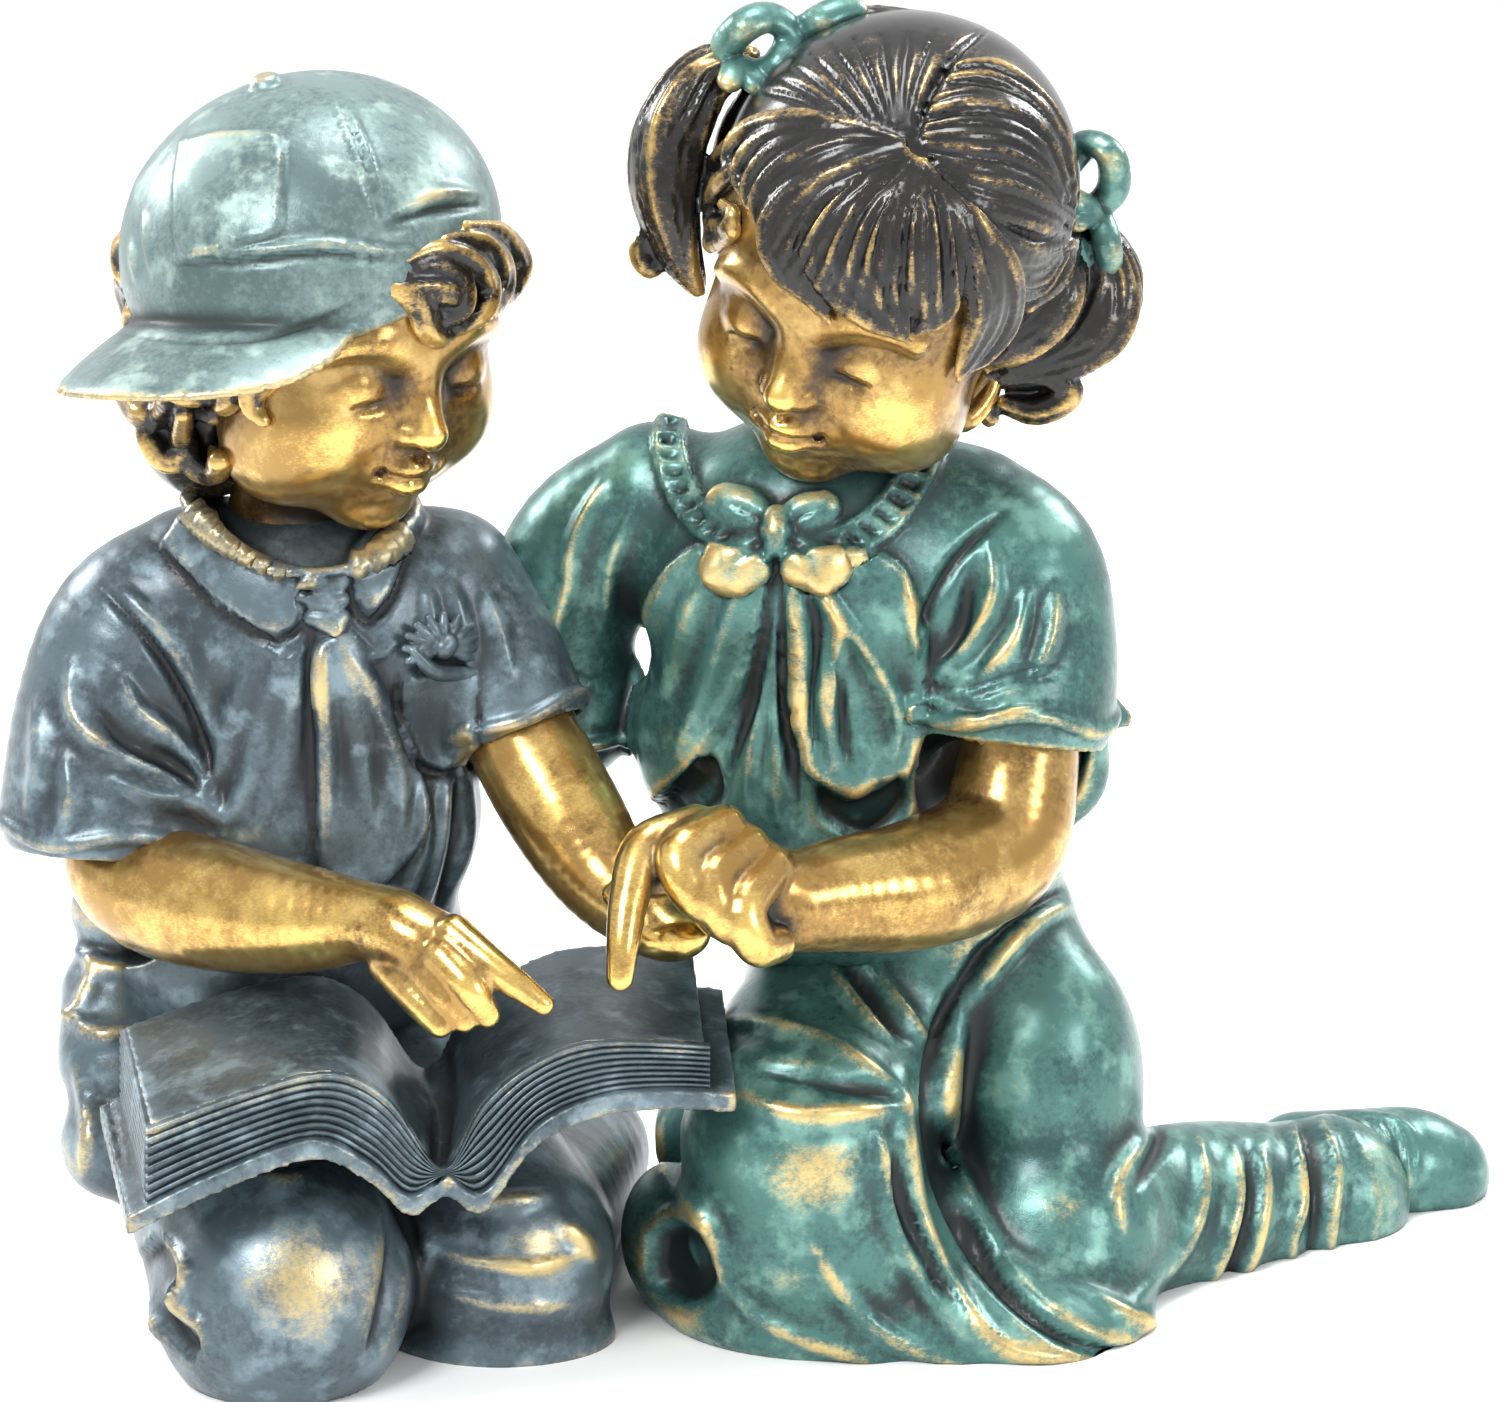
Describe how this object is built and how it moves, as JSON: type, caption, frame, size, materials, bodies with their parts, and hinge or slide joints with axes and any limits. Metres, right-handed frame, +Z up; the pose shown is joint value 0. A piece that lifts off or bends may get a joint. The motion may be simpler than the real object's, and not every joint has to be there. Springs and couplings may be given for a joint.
{
  "type": "children garden statue",
  "caption": "Garden statue of two kneeling children, a boy in a cap and a girl with bunches, who share an open book, cast in resin with a patinated bronze finish.",
  "frame": {"origin": "centre of the bounding box on the ground, under the underside", "axes": "+X to the viewer's right along the pair of figures, +Y away from the viewer towards their backs, +Z up"},
  "size_m": [0.4648, 0.2322, 0.4003],
  "materials": {
    "casting": "green and slate patina over bronze, satin",
    "skin_gold": "rubbed antique gold with dark brown in the hollows, glossy",
    "hair_dark": "near-black bronze with gold on the raised locks, glossy",
    "cloth_slate": "slate blue patina with soft sheen and gold edges",
    "cloth_green": "teal green verdigris with gold on the ridges"
  },
  "bodies": {
    "root": {"statue_casting": "casting"}
  },
  "joints": []
}
